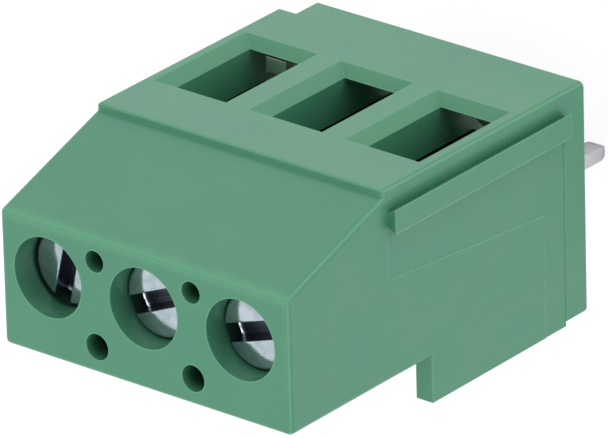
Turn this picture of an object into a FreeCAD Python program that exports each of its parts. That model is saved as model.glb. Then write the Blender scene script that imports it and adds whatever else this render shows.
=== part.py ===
import FreeCAD, Part

import math
import os
import re

import Sketcher

# Board terminal block with rising clamp cages, in millimetres.
# The frame: X runs along the poles, -Y is the face the wires enter, +Z is the face with the screws.
# The origin lies where the middle solder pin passes the board's surface, and Z = 0 is that surface.

# Driving sizes: alias, value in millimetres (degrees for an angle), what it is.
SIZES = [
    ("pitch", 5.08, "distance between two poles"),
    ("poles", 3, "number of poles"),
    ("end_gap", 0.04, "room left to a neighbour block at the +X end"),
    ("block_height", 19.67, "board surface to screw face"),
    ("front_reach", 5.28, "pin row to wire face"),
    ("back_reach", 3.33, "pin row to plain back wall"),
    ("lip_height", 13.36, "board surface to lip over the wire entries"),
    ("lip_step", 0.32, "how far the lip stands proud of the slope"),
    ("slope_run", 2.15, "how far the slope runs back up to the screw face"),
    ("edge_round", 0.25, "rounding of the outer moulded edges"),
    ("lip_round", 0.10, "rounding of the lip's long edge"),
    ("rib_reach", 2.07, "depth of the support ribs behind the back wall"),
    ("rib_height", 10.44, "height of the support ribs"),
    ("rib_width", 0.86, "thickness of one support rib"),
    ("rib_root", 0.40, "how far the ribs reach into the back wall"),
    ("foot_height", 1.385, "height of the flush foot at the board end"),
    ("foot_reach", 1.83, "depth of that foot behind the back wall"),
    ("foot_round", 0.15, "rounding of the foot's lower corner"),
    ("screw_setback", 0.34, "screw axis in front of the pin row"),
    ("well_radius", 1.79, "screwdriver well"),
    ("well_depth", 3.10, "screw face to the shoulder under the screw head"),
    ("probe_radius", 0.485, "blind round holes near the slope"),
    ("probe_y", 1.76, "those holes in front of the pin row"),
    ("tag_radius", 0.59, "blind round holes near the back"),
    ("tag_y", 2.10, "those holes behind the pin row"),
    ("blind_depth", 3.2, "depth of the blind round holes"),
    ("funnel_width", 3.88, "mouth of a wire entry along X"),
    ("funnel_low", 4.16, "lower edge of the mouth"),
    ("funnel_high", 10.25, "upper edge of the mouth"),
    ("funnel_depth", 0.48, "depth of the bevel round the mouth"),
    ("funnel_bevel", 0.46, "how far the bevel closes the mouth at the top and bottom"),
    ("tunnel_width", 2.76, "wire tunnel behind the bevel"),
    ("chamber_width", 3.88, "room for a clamp cage along X"),
    ("chamber_front", 3.02, "chamber wall in front of the pin row"),
    ("chamber_back", 2.47, "chamber wall behind the pin row"),
    ("shelf", 1.56, "thickness of the wall between a chamber and the screw head's shoulder"),
    ("notch_width", 1.08, "corner notch of the +X end"),
    ("notch_height", 1.45, "height of that notch"),
    ("notch_depth", 1.08, "depth of that notch"),
    ("tongue_y", 3.34, "dovetail tongue's rear corner in front of the pin row"),
    ("tongue_width", 1.11, "outer width of the dovetail tongue"),
    ("tongue_proud", 0.39, "how far the tongue stands out of the -X end"),
    ("tongue_undercut", 0.26, "how much narrower each side is at the root"),
    ("tongue_top", 13.11, "upper end of the tongue"),
    ("tongue_low", 1.33, "lower end of the tongue"),
    ("tongue_play", 0.08, "clearance of the matching slot in the +X end"),
    ("panel_sink", 0.03, "depth of the sunk panel of the -X end"),
    ("panel_low", 2.80, "left edge of the raised field beside the board flange"),
    ("panel_high", 13.15, "upper edge of the sunk panel"),
    ("panel_front", 1.23, "slanted edge in front of the pin row, upper end"),
    ("panel_back", 0.24, "slanted edge in front of the pin row, lower end"),
    ("strip", 0.65, "thickness of the contact strip"),
    ("pin_width", 0.90, "solder pin along X"),
    ("pin_length", 4.30, "solder pin below the board surface"),
    ("pin_taper", 0.20, "how much each side of the pin's tip closes"),
    ("pin_tip", 0.45, "length of the tapered tip"),
    ("base_low", 0.10, "contact base above the board surface"),
    ("bar_low", 7.30, "underside of the clamping bar"),
    ("bar_width", 2.30, "clamping bar along X"),
    ("bar_front", 2.70, "bar's free end in front of the pin row"),
    ("strip_bend", 0.55, "outer radius of the strip's bends"),
    ("cage_wall", 0.52, "thickness of the cage strip"),
    ("cage_side_gap", 0.09, "running gap between cage and chamber walls"),
    ("cage_front_gap", 0.10, "running gap between cage and chamber front"),
    ("cage_rear", 1.42, "rear of the cage behind the pin row"),
    ("cage_window", 6.36, "inner height of the cage"),
    ("cage_head", 1.40, "thickness of the threaded top of the cage"),
    ("cage_bend", 0.50, "outer radius of the cage corners"),
    ("lip_width", 1.06, "guide lip of the cage"),
    ("lip_reach", 4.68, "end of the guide lip in front of the pin row"),
    ("lip_crest", 3.97, "rear end of the lip's raised pad"),
    ("lip_rise", 0.50, "how far the pad stands over the cage floor"),
    ("floor_first", 4.08, "cage floor of pole 1 as photographed"),
    ("floor_second", 1.85, "cage floor of pole 2 as photographed"),
    ("floor_third", 2.79, "cage floor of pole 3 as photographed"),
    ("shank_radius", 1.25, "clamp screw thread, outer radius"),
    ("thread_gap", 0.04, "running gap between thread and cage bore"),
    ("shank_gap", 0.09, "running gap between shank and housing"),
    ("head_radius", 1.72, "clamp screw head"),
    ("head_height", 1.80, "height of that head"),
    ("head_seat_gap", 0.02, "gap between head and shoulder"),
    ("head_edge", 0.16, "chamfer of the head's rim"),
    ("slot_width", 0.82, "screwdriver slot"),
    ("slot_depth", 0.95, "depth of that slot"),
    ("tip_gap", 0.03, "gap between screw tip and clamping bar"),
    ("play_first", 0.0, "how far screw 1 is lifted off its shoulder, as photographed"),
    ("play_second", 0.25, "the same for screw 2"),
    ("play_third", 0.25, "the same for screw 3"),
    ("tip_bevel", 0.30, "chamfer of the screw tip"),
    ("turn_first", 76.0, "slot direction of pole 1 from X, degrees"),
    ("turn_second", 23.5, "slot direction of pole 2"),
    ("turn_third", 18.2, "slot direction of pole 3"),
]

# Lengths closer than this, in millimetres, count as the same.
SAME = 0.01

doc = FreeCAD.newDocument("terminal_block")
sheet = doc.addObject("Spreadsheet::Sheet", "Sizes")


def fill_sheet():
    """Write every driving size into the sheet with its alias and its meaning."""
    for row, (alias, value, meaning) in enumerate(SIZES, start=1):
        sheet.set(f"A{row}", alias)
        sheet.set(f"B{row}", str(value))
        sheet.set(f"C{row}", meaning)
        sheet.setAlias(f"B{row}", alias)
    doc.recompute()


ALIASES = {alias for alias, _, _ in SIZES}


def named(expression):
    """Turn the size names in an expression into references to the sheet."""
    return re.sub(r"[a-z_]+", lambda m: "Sizes." + m[0] if m[0] in ALIASES else m[0], expression)


def bind(obj, prop, expression):
    """Bind one property of an object to an expression of the driving sizes."""
    obj.setExpression(prop, named(expression))


# Heights and places that several pieces share, worked out from the driving sizes.
LEFT = "(-poles * pitch / 2)"
RIGHT = "(poles * pitch / 2 - end_gap)"
FIRST_POLE = "((poles - 1) * pitch / 2)"
SHOULDER = "(block_height - well_depth)"
BAR_TOP = "(bar_low + strip)"
ROOF = "(block_height - well_depth - shelf)"
CAGE_FRONT = "(-chamber_front + cage_front_gap)"
FUNNEL_BACK = "(-front_reach + funnel_depth)"
TUNNEL_LOW = "(funnel_low + funnel_bevel)"
TUNNEL_HIGH = "(funnel_high - funnel_bevel)"


def new_body(label):
    """Make an empty body whose label names its node."""
    body = doc.addObject("PartDesign::Body", label)
    body.Label = label
    return body


def sketch_on(body, name, role, lift="0"):
    """Make a sketch on one of the body's origin planes, lifted along the plane's normal."""
    sketch = body.newObject("Sketcher::SketchObject", name)
    plane = next(f for f in body.Origin.OriginFeatures if f.Role == role)
    sketch.AttachmentSupport = [(plane, "")]
    sketch.MapMode = "FlatFace"
    bind(sketch, "AttachmentOffset.Base.z", lift)
    return sketch


def hold_point(sketch, geometry, end, place):
    """Fix one point of a sketch at a pair of expressions, measured from the sketch's origin."""
    for kind, expression in zip(("DistanceX", "DistanceY"), place):
        index = sketch.addConstraint(Sketcher.Constraint(kind, -1, 1, geometry, end, 0.0))
        bind(sketch, f"Constraints[{index}]", expression)


def outline(body, name, role, corners, lift="0"):
    """Sketch a closed outline of straight edges through corners given as expressions."""
    sketch = sketch_on(body, name, role, lift)
    count = len(corners)
    turn = [FreeCAD.Vector(math.cos(2 * math.pi * k / count), math.sin(2 * math.pi * k / count), 0)
            for k in range(count)]
    for k in range(count):
        sketch.addGeometry(Part.LineSegment(turn[k], turn[(k + 1) % count]), False)
    for k in range(count):
        sketch.addConstraint(Sketcher.Constraint("Coincident", k, 2, (k + 1) % count, 1))
    for k, place in enumerate(corners):
        hold_point(sketch, k, 1, place)
    return sketch


def rectangle(body, name, role, low, high, lift="0"):
    """Sketch a rectangle from its low corner to its high corner."""
    corners = [low, (high[0], low[1]), high, (low[0], high[1])]
    return outline(body, name, role, corners, lift)


def circles(body, name, role, centres, radius, lift="0"):
    """Sketch circles of one radius round the given centres."""
    sketch = sketch_on(body, name, role, lift)
    for centre in centres:
        index = sketch.addGeometry(Part.Circle(FreeCAD.Vector(0, 0, 0), FreeCAD.Vector(0, 0, 1), 1.0), False)
        hold_point(sketch, index, 3, centre)
        held = sketch.addConstraint(Sketcher.Constraint("Radius", index, 1.0))
        bind(sketch, f"Constraints[{held}]", radius)
    return sketch


def pad(body, sketch, name, length, both_ways=False, backwards=False):
    """Add material from a sketch, to one side of it or half to each side."""
    feature = body.newObject("PartDesign::Pad", name)
    feature.Profile = sketch
    feature.Midplane = both_ways
    feature.Reversed = backwards
    bind(feature, "Length", length)
    sketch.Visibility = False
    return feature


def cut(body, sketch, name, length, both_ways=False, backwards=False):
    """Take material away from a sketch, and make sure that some is taken."""
    before = solid_volume(body)
    feature = body.newObject("PartDesign::Pocket", name)
    feature.Profile = sketch
    feature.Midplane = both_ways
    feature.Reversed = backwards
    bind(feature, "Length", length)
    if solid_volume(body) >= before:
        raise RuntimeError(f"{name} cuts nothing")
    return feature


def solid_volume(body):
    """Recompute and return the body's volume."""
    doc.recompute()
    return body.Shape.Volume


def repeat_poles(body, name, features):
    """Repeat features of the first pole towards -X, once for each pole."""
    pattern = body.newObject("PartDesign::LinearPattern", name)
    pattern.Originals = features
    axis = next(f for f in body.Origin.OriginFeatures if f.Role == "X_Axis")
    pattern.Direction = (axis, [""])
    pattern.Reversed = True
    bind(pattern, "Length", "(poles - 1) * pitch")
    bind(pattern, "Occurrences", "poles")
    body.Tip = pattern
    return pattern


def round_edges(body, name, wanted, radius):
    """Round the edges of the body's last feature for which wanted(edge) holds."""
    doc.recompute()
    base = body.Tip
    found = [f"Edge{k}" for k, edge in enumerate(base.Shape.Edges, start=1) if wanted(edge)]
    feature = body.newObject("PartDesign::Fillet", name)
    feature.Base = (base, found)
    bind(feature, "Radius", radius)
    return feature


def value(alias):
    """Read one driving size as a number."""
    return float(sheet.get(alias))


def near(a, b):
    """Tell whether two lengths are the same."""
    return abs(a - b) < SAME


# Housing


def add_side_form(body):
    """The moulding's side view: wire face, lip, slope, screw face and back wall."""
    corners = [
        ("-front_reach", "0"), ("-front_reach", "lip_height"),
        ("-front_reach + lip_step", "lip_height"),
        ("-front_reach + lip_step + slope_run", "block_height"),
        ("back_reach", "block_height"), ("back_reach", "0"),
    ]
    side = outline(body, "side_form", "YZ_Plane", corners, LEFT)
    return pad(body, side, "block", "poles * pitch - end_gap")


def add_ribs(body):
    """Support ribs behind the back wall: one on each pole's -X side, one closing the +X end."""
    root = "back_reach - rib_root"
    foot = "back_reach + foot_reach"
    back = "back_reach + rib_reach"
    corners = [(root, "0"), (foot, "0"), (foot, "foot_height"), (back, "foot_height"), (back, "rib_height"),
               (root, "rib_height")]
    side = outline(body, "rib_side", "YZ_Plane", corners, f"{LEFT} + (poles - 1) * pitch")
    rib = pad(body, side, "rib", "rib_width")
    repeat_poles(body, "ribs", [rib])
    end = outline(body, "end_rib_side", "YZ_Plane", corners, RIGHT)
    pad(body, end, "end_rib", "rib_width", backwards=True)

    def is_foot_corner(edge):
        return all(near(p.z, 0) and near(p.y, value("back_reach") + value("foot_reach"))
                   for p in (v.Point for v in edge.Vertexes))

    round_edges(body, "foot_corners", is_foot_corner, "foot_round")


def cut_poles(body):
    """Cut what each pole needs: well, screw passage, wire funnel, tunnel and cage chamber."""
    axis = [(FIRST_POLE, "-screw_setback")]
    well = cut(body, circles(body, "well_round", "XY_Plane", axis, "well_radius", "block_height"),
               "well", "well_depth")
    passage = cut(body, circles(body, "passage_round", "XY_Plane", axis, "shank_radius + shank_gap", ROOF),
                  "passage", f"{SHOULDER} - {ROOF} + shank_gap", backwards=True)
    chamber = cut(body, rectangle(body, "chamber_side", "YZ_Plane", ("-chamber_front", "0"),
                                  ("chamber_back", ROOF), FIRST_POLE),
                  "chamber", "chamber_width", both_ways=True)
    roof = [(FUNNEL_BACK, "0"), (FUNNEL_BACK, TUNNEL_HIGH),
            ("-chamber_front + cage_front_gap", "bar_low"), ("-chamber_front + cage_front_gap", "0")]
    tunnel = cut(body, outline(body, "tunnel_side", "YZ_Plane", roof, FIRST_POLE),
                 "tunnel", "tunnel_width", both_ways=True)
    mouth = rectangle(body, "mouth", "XZ_Plane", (f"{FIRST_POLE} - funnel_width / 2", "funnel_low"),
                      (f"{FIRST_POLE} + funnel_width / 2", "funnel_high"), "front_reach")
    throat = rectangle(body, "throat", "XZ_Plane", (f"{FIRST_POLE} - tunnel_width / 2", TUNNEL_LOW),
                       (f"{FIRST_POLE} + tunnel_width / 2", TUNNEL_HIGH), f"-{FUNNEL_BACK}")
    funnel = body.newObject("PartDesign::SubtractiveLoft", "funnel")
    funnel.Profile = mouth
    funnel.Sections = [throat]
    funnel.Ruled = True
    repeat_poles(body, "all_poles", [well, passage, chamber, tunnel, funnel])


def cut_blind_holes(body):
    """Two rows of blind round holes between the wells."""
    between = f"{FIRST_POLE} - pitch / 2"
    for name, radius, place in (("probe", "probe_radius", "-probe_y"), ("tag", "tag_radius", "tag_y")):
        centres = [(between, place), (f"{between} - pitch", place)]
        rounds = circles(body, f"{name}_rounds", "XY_Plane", centres, radius, "block_height")
        cut(body, rounds, f"{name}_holes", "blind_depth")


def cut_end_panel(body):
    """The shallow sunk field of the -X end, with its slanted edge and the strip beside the flange."""
    corners = [
        ("-tongue_y - tongue_width / 2", "tongue_low"), ("-tongue_y - tongue_width / 2", "panel_high"),
        ("-panel_front", "panel_high"), ("-panel_back", "panel_low"),
        ("back_reach + 2 * rib_reach", "panel_low"), ("back_reach + 2 * rib_reach", "foot_height"),
        ("-tongue_y", "foot_height"), ("-tongue_y", "tongue_low"),
    ]
    field = outline(body, "panel_form", "YZ_Plane", corners, LEFT)
    cut(body, field, "panel", "panel_sink", backwards=True)


def dovetail(grow):
    """The dovetail's rear and front corner, grown by an expression, and how far its flanks lean in."""
    rear = f"-tongue_y + {grow}"
    front = f"-tongue_y - tongue_width - {grow}"
    slant = "tongue_undercut * (tongue_proud + panel_sink) / tongue_proud"
    return rear, front, slant


def add_tongue(body):
    """The dovetail tongue of the -X end, which a neighbour block slides onto."""
    rear, front, slant = dovetail("0")
    outer = f"{LEFT} - tongue_proud"
    root = f"{LEFT} + panel_sink"
    corners = [(outer, rear), (root, f"{rear} - {slant}"), (root, f"{front} + {slant}"), (outer, front)]
    section = outline(body, "tongue_section", "XY_Plane", corners, "tongue_low")
    pad(body, section, "tongue", "tongue_top - tongue_low")


def cut_slot_and_notch(body):
    """The matching dovetail slot of the +X end, open at the board side, and the corner notch."""
    rear, front, slant = dovetail("tongue_play")
    depth = f"{RIGHT} - tongue_proud - tongue_play"
    corners = [(depth, rear), (RIGHT, f"{rear} - {slant}"), (RIGHT, f"{front} + {slant}"), (depth, front)]
    section = outline(body, "slot_section", "XY_Plane", corners)
    cut(body, section, "slot", "tongue_top + tongue_play", backwards=True)
    notch = rectangle(body, "notch_form", "XZ_Plane", (f"{RIGHT} - notch_width", "0"),
                      (RIGHT, "notch_height"), "front_reach")
    cut(body, notch, "notch", "notch_depth")


def is_outer_edge(edge):
    """Pick the long straight outer edges of the moulding that are rounded."""
    if edge.Curve.TypeId != "Part::GeomLine":
        return False
    ends = [v.Point for v in edge.Vertexes]
    if len(ends) != 2:
        return False
    left = -value("poles") * value("pitch") / 2
    right = -left - value("end_gap")
    lip = value("lip_height") - SAME
    top = value("block_height") - SAME
    highest = max(p.z for p in ends)
    at_end = any(all(near(p.x, side) for p in ends) for side in (left, right))
    across = near(edge.Length, right - left) and all(p.z > top for p in ends)
    upper = all(p.z > lip for p in ends)
    front_corner = all(near(p.y, -value("front_reach")) for p in ends) and highest > lip
    back_corner = all(near(p.y, value("back_reach")) for p in ends) and highest > top
    return across or (at_end and (upper or front_corner or back_corner))


def is_lip_edge(edge):
    """Pick the lip's long outer edge."""
    ends = [v.Point for v in edge.Vertexes]
    at_lip = all(near(p.y, -value("front_reach")) and near(p.z, value("lip_height")) for p in ends)
    return at_lip and edge.Length > value("pitch")


def make_housing():
    """The one-piece moulded housing."""
    body = new_body("housing")
    add_side_form(body)
    round_edges(body, "moulded_edges", is_outer_edge, "edge_round")
    round_edges(body, "lip_edge", is_lip_edge, "lip_round")
    add_ribs(body)
    cut_end_panel(body)
    add_tongue(body)
    cut_slot_and_notch(body)
    cut_poles(body)
    cut_blind_holes(body)
    return body


# Metal parts, drawn at the middle of a pole and then placed at theirs


def place_at_pole(body, number):
    """Move a body from X = 0 to its pole, counted from the +X end."""
    bind(body, "Placement.Base.x", f"{FIRST_POLE} - {number - 1} * pitch")


def make_contact(number):
    """One folded strip: clamping bar, back leg, base and solder pin."""
    body = new_body(f"terminal_contact_{number}")
    back = "chamber_back"
    leg = "(chamber_back - strip)"
    leg_corners = [("-strip / 2", "base_low"), ("-strip / 2", "base_low + strip"), (leg, "base_low + strip"),
                   (leg, BAR_TOP), (back, BAR_TOP), (back, "base_low")]
    side = outline(body, "leg_side", "YZ_Plane", leg_corners)
    pad(body, side, "leg", "chamber_width - 2 * cage_side_gap", both_ways=True)
    bar = rectangle(body, "bar_side", "YZ_Plane", ("-bar_front", "bar_low"), (leg, BAR_TOP))
    pad(body, bar, "bar", "bar_width", both_ways=True)
    pin = rectangle(body, "pin_section", "XY_Plane", ("-pin_width / 2", "-strip / 2"),
                    ("pin_width / 2", "strip / 2"), "base_low")
    pad(body, pin, "pin", "base_low + pin_length - pin_tip", backwards=True)
    shoulder = rectangle(body, "tip_root", "XY_Plane", ("-pin_width / 2", "-strip / 2"),
                         ("pin_width / 2", "strip / 2"), "-pin_length + pin_tip")
    end = rectangle(body, "tip_end", "XY_Plane", ("-pin_width / 2 + pin_taper", "-strip / 2 + pin_taper"),
                    ("pin_width / 2 - pin_taper", "strip / 2 - pin_taper"), "-pin_length")
    tip = body.newObject("PartDesign::AdditiveLoft", "tip")
    tip.Profile = shoulder
    tip.Sections = [end]
    tip.Ruled = True

    def is_bend(edge):
        ends = [v.Point for v in edge.Vertexes]
        along_x = edge.Length > value("bar_width") and near(ends[0].z, ends[-1].z)
        at_leg = all(near(p.y, value("chamber_back")) for p in ends)
        at_pin = all(near(p.y, -value("strip") / 2) and p.z > value("strip") for p in ends)
        return along_x and (at_leg or at_pin)

    round_edges(body, "bends", is_bend, "strip_bend")
    place_at_pole(body, number)
    return body


def make_cage(number, floor):
    """One clamp cage: a ring of strip with a threaded top and a guide lip in front of its floor."""
    body = new_body(f"clamp_cage_{number}")
    half = "(chamber_width / 2 - cage_side_gap)"
    depth = f"(cage_rear - {CAGE_FRONT})"
    ring = rectangle(body, "ring_outline", "XZ_Plane", (f"-{half}", "-cage_wall"),
                     (half, "cage_window + cage_head"), "-cage_rear")
    pad(body, ring, "ring", depth)

    def is_corner(edge):
        ends = [v.Point for v in edge.Vertexes]
        return near(ends[0].x, ends[-1].x) and near(ends[0].z, ends[-1].z)

    round_edges(body, "corners", is_corner, "cage_bend")
    window = rectangle(body, "window_form", "XZ_Plane", (f"-{half} + cage_wall", "0"),
                       (f"{half} - cage_wall", "cage_window"), "-cage_rear")
    cut(body, window, "window", depth, backwards=True)
    bore = circles(body, "bore_round", "XY_Plane", [("0", "-screw_setback")], "shank_radius + thread_gap",
                   "cage_window + cage_head")
    cut(body, bore, "bore", "cage_head")
    under = "cage_wall"
    lip_corners = [(CAGE_FRONT, "0"), (f"(-lip_crest + {CAGE_FRONT}) / 2", "0"),
                   ("-lip_crest", "lip_rise"), ("-lip_reach", "lip_rise"),
                   ("-lip_reach", f"lip_rise - {under}"), ("-lip_crest", f"lip_rise - {under}"),
                   (f"(-lip_crest + {CAGE_FRONT}) / 2", f"-{under}"), (CAGE_FRONT, f"-{under}")]
    lip = outline(body, "lip_side", "YZ_Plane", lip_corners)
    pad(body, lip, "lip", "lip_width", both_ways=True)
    place_at_pole(body, number)
    bind(body, "Placement.Base.z", floor)
    return body


def make_screw(number, turn, play):
    """One slotted clamp screw: head over the housing's shoulder, tip over the clamping bar."""
    body = new_body(f"clamp_screw_{number}")
    seat = f"({SHOULDER} + head_seat_gap + {play})"
    top = f"({seat} + head_height)"
    tip = f"({BAR_TOP} + tip_gap + {play})"
    half = [("0", tip), ("shank_radius - tip_bevel", tip), ("shank_radius", f"{tip} + tip_bevel"),
            ("shank_radius", seat), ("head_radius", seat), ("head_radius", f"{top} - head_edge"),
            ("head_radius - head_edge", top), ("0", top)]
    section = outline(body, "half_section", "XZ_Plane", half)
    turned = body.newObject("PartDesign::Revolution", "turned")
    turned.Profile = section
    turned.ReferenceAxis = (section, ["V_Axis"])
    doc.recompute()
    slot = rectangle(body, "slot_form", "XY_Plane", ("-2 * head_radius", "-slot_width / 2"),
                     ("2 * head_radius", "slot_width / 2"), top)
    cut(body, slot, "slot", "slot_depth")
    body.Placement.Rotation = FreeCAD.Rotation(FreeCAD.Vector(0, 0, 1), value(turn))
    bind(body, "Placement.Rotation.Angle", turn)
    bind(body, "Placement.Base.y", "-screw_setback")
    place_at_pole(body, number)
    return body


def check(parts):
    """Stop unless every object is sound and every sub-part is one valid solid."""
    doc.recompute()
    for obj in doc.Objects:
        if "Invalid" in obj.State or "Error" in obj.State:
            raise RuntimeError(f"{obj.Label} failed: {obj.State}")
    for part in parts:
        shape = part.Shape
        if shape.isNull() or not shape.isValid() or len(shape.Solids) != 1:
            raise RuntimeError(f"{part.Label} is not one valid solid")


fill_sheet()
subparts = [make_housing()]
poles_as_photographed = [("floor_first", "turn_first", "play_first"),
                         ("floor_second", "turn_second", "play_second"),
                         ("floor_third", "turn_third", "play_third")]
for pole, (floor, turn, play) in enumerate(poles_as_photographed, start=1):
    subparts.append(make_contact(pole))
    subparts.append(make_cage(pole, floor))
    subparts.append(make_screw(pole, turn, play))
check(subparts)

os.makedirs("parts", exist_ok=True)
for part in subparts:
    part.Shape.exportStep(f"parts/{part.Label}.step")
    box = part.Shape.BoundBox
    print(f"{part.Label}: {part.Shape.Volume:.2f} mm3, X {box.XMin:.2f}..{box.XMax:.2f}, "
          f"Y {box.YMin:.2f}..{box.YMax:.2f}, Z {box.ZMin:.2f}..{box.ZMax:.2f}")
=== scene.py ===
"""Board terminal block with rising clamp cages: the finish of its pieces, in the frame of its solids.

The frame has +Z towards the screws, -Y towards the wires and X along the poles. Lengths in the classes
are millimetres, as on a maker's drawing, and become metres where a mesh or a material is made.
"""

import logging
import math
from collections.abc import Sequence
from dataclasses import dataclass
from enum import Enum

import bmesh
import bpy
import numpy as np
from mathutils import Matrix, Vector


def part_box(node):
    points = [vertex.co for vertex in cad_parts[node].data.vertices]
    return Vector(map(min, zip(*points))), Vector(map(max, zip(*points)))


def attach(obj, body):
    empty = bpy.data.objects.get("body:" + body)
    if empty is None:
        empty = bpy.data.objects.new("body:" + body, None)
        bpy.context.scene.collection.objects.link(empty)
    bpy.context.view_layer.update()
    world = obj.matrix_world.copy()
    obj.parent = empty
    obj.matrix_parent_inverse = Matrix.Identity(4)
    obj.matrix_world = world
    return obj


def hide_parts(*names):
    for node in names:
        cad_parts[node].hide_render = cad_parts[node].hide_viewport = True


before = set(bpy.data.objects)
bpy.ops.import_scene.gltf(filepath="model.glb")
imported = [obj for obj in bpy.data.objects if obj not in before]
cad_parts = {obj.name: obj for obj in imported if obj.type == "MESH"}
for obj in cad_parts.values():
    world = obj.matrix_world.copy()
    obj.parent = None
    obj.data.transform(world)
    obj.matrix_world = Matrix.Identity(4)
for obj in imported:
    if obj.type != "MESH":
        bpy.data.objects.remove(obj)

MM = 0.001
LOG = logging.getLogger("terminal_block")


class Slot(Enum):
    """The pieces' material slots."""

    HOUSING = "housing_plastic"
    SCREW = "plated_screw"
    CAGE = "plated_cage"
    CONTACT = "tinned_contact"


def linear(red: int, green: int, blue: int) -> tuple[float, float, float, float]:
    """Turn a display colour into a linear one.

    Args:
        red: Red, from 0 to 255.
        green: Green, from 0 to 255.
        blue: Blue, from 0 to 255.

    Returns:
        The linear colour with an alpha of one.
    """
    shares = np.array([red, green, blue]) / 255.0
    low = shares / 12.92
    high = ((shares + 0.055) / 1.055) ** 2.4
    return (*np.where(shares <= 0.04045, low, high).tolist(), 1.0)


# Shader graphs


class Graph:
    """Adds and joins the nodes of one material or one node group."""

    def __init__(self, tree: bpy.types.NodeTree) -> None:
        """Keep the tree that the nodes go into."""
        self.tree = tree

    def add(self, kind: str, **settings: object) -> bpy.types.Node:
        """Add a node.

        Args:
            kind: The node's type name, without its ShaderNode prefix.
            **settings: Properties of the node to set.

        Returns:
            The new node.
        """
        node = self.tree.nodes.new("ShaderNode" + kind)
        for name, value in settings.items():
            setattr(node, name, value)
        return node

    def feed(self, socket: bpy.types.NodeSocket, source: object) -> None:
        """Join a socket to a source socket, or set it to a plain value."""
        if isinstance(source, bpy.types.NodeSocket):
            self.tree.links.new(source, socket)
        else:
            socket.default_value = source

    def calculate(self, operation: str, *values: object, clamp: bool = False) -> bpy.types.NodeSocket:
        """Add a Math node.

        Args:
            operation: The node's operation.
            *values: Its inputs, sockets or numbers.
            clamp: Whether the result is held between 0 and 1.

        Returns:
            The result's socket.
        """
        node = self.add("Math", operation=operation, use_clamp=clamp)
        for socket, value in zip(node.inputs, values):
            self.feed(socket, value)
        return node.outputs[0]

    def blend(self, share: object, first: object, second: object) -> bpy.types.NodeSocket:
        """Add a colour mix.

        Args:
            share: How much of the second colour, from 0 to 1.
            first: The colour at 0.
            second: The colour at 1.

        Returns:
            The mixed colour's socket.
        """
        node = self.add("Mix", data_type="RGBA")
        self.feed(node.inputs["Factor"], share)
        self.feed(node.inputs[6], first)
        self.feed(node.inputs[7], second)
        return node.outputs[2]

    def spread(self, value: object, low: float, high: float, start: float = 0.0,
               end: float = 1.0) -> bpy.types.NodeSocket:
        """Add a smooth Map Range.

        Args:
            value: What is mapped.
            low: The value that gives start.
            high: The value that gives end.
            start: The result at low.
            end: The result at high.

        Returns:
            The result's socket.
        """
        node = self.add("MapRange", interpolation_type="SMOOTHSTEP")
        for name, number in (("Value", value), ("From Min", low), ("From Max", high), ("To Min", start),
                             ("To Max", end)):
            self.feed(node.inputs[name], number)
        return node.outputs["Result"]

    def between(self, value: bpy.types.NodeSocket, limits: Sequence[float]) -> bpy.types.NodeSocket:
        """Add a gate that is 1 between two places and 0 elsewhere.

        Args:
            value: The coordinate that is tested.
            limits: The lower and the upper limit, in millimetres.

        Returns:
            The gate's socket.
        """
        above = self.calculate("GREATER_THAN", value, limits[0] * MM)
        return self.calculate("MULTIPLY", above, self.calculate("LESS_THAN", value, limits[1] * MM))

    def engrave(self, shader: bpy.types.Node, height: bpy.types.NodeSocket, edges: bpy.types.Node,
                depth: float, strength: float) -> None:
        """Give a shader a bump over softened edges.

        Args:
            shader: The material's shader.
            height: The bump's height, from 0 to about 1.
            edges: The soft edges' node.
            depth: What a height of 1 stands for, in millimetres.
            strength: The bump's strength.
        """
        bump = self.add("Bump")
        bump.inputs["Strength"].default_value = strength
        bump.inputs["Distance"].default_value = depth * MM
        self.feed(bump.inputs["Height"], height)
        self.feed(bump.inputs["Normal"], edges.outputs["Normal"])
        self.feed(shader.inputs["Normal"], bump.outputs["Normal"])

    def on_piece(self) -> bpy.types.NodeSocket:
        """Add the place on the piece, in Object coordinates."""
        return self.add("TexCoord").outputs["Object"]

    def coordinates(self) -> tuple[bpy.types.NodeSocket, ...]:
        """Add the place on the piece, split.

        Returns:
            The sockets of X, Y and Z.
        """
        parts = self.add("SeparateXYZ")
        self.feed(parts.inputs[0], self.on_piece())
        return tuple(parts.outputs)

    def stretched(self, place: bpy.types.NodeSocket, turn: tuple[float, float, float],
                  shrink: float) -> bpy.types.NodeSocket:
        """Turn a coordinate and shrink it along X, so that a pattern on it is drawn out there.

        Args:
            place: The coordinate.
            turn: The turn about X, Y and Z, in radians.
            shrink: The factor along X.

        Returns:
            The changed coordinate.
        """
        mapping = self.add("Mapping")
        self.feed(mapping.inputs["Vector"], place)
        mapping.inputs["Rotation"].default_value = turn
        mapping.inputs["Scale"].default_value = (shrink, 1.0, 1.0)
        return mapping.outputs["Vector"]

    def noise(self, place: bpy.types.NodeSocket, size: object, detail: float = 2.0) -> bpy.types.NodeSocket:
        """Add a noise whose lumps have a size in metres.

        Args:
            place: The coordinate it reads.
            size: The size of a lump in metres, a number or a socket.
            detail: The number of finer layers.

        Returns:
            The noise's value.
        """
        scale = self.calculate("DIVIDE", 1.0, size)
        node = self.add("TexNoise")
        self.feed(node.inputs["Vector"], place)
        self.feed(node.inputs["Scale"], scale)
        node.inputs["Detail"].default_value = detail
        return node.outputs["Fac"]

    def lines(self, attribute: str, size: float) -> bpy.types.NodeSocket:
        """Add a noise of one distance that the mesh carries, which gives lines at even distance.

        Args:
            attribute: The name of the distance, which is in metres.
            size: The width of a line, in millimetres.

        Returns:
            The noise's value.
        """
        node = self.add("TexNoise", noise_dimensions="1D")
        self.feed(node.inputs["W"], self.add("Attribute", attribute_name=attribute).outputs["Fac"])
        node.inputs["Scale"].default_value = 1.0 / (size * MM)
        node.inputs["Detail"].default_value = 2.0
        return node.outputs["Fac"]


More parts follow.
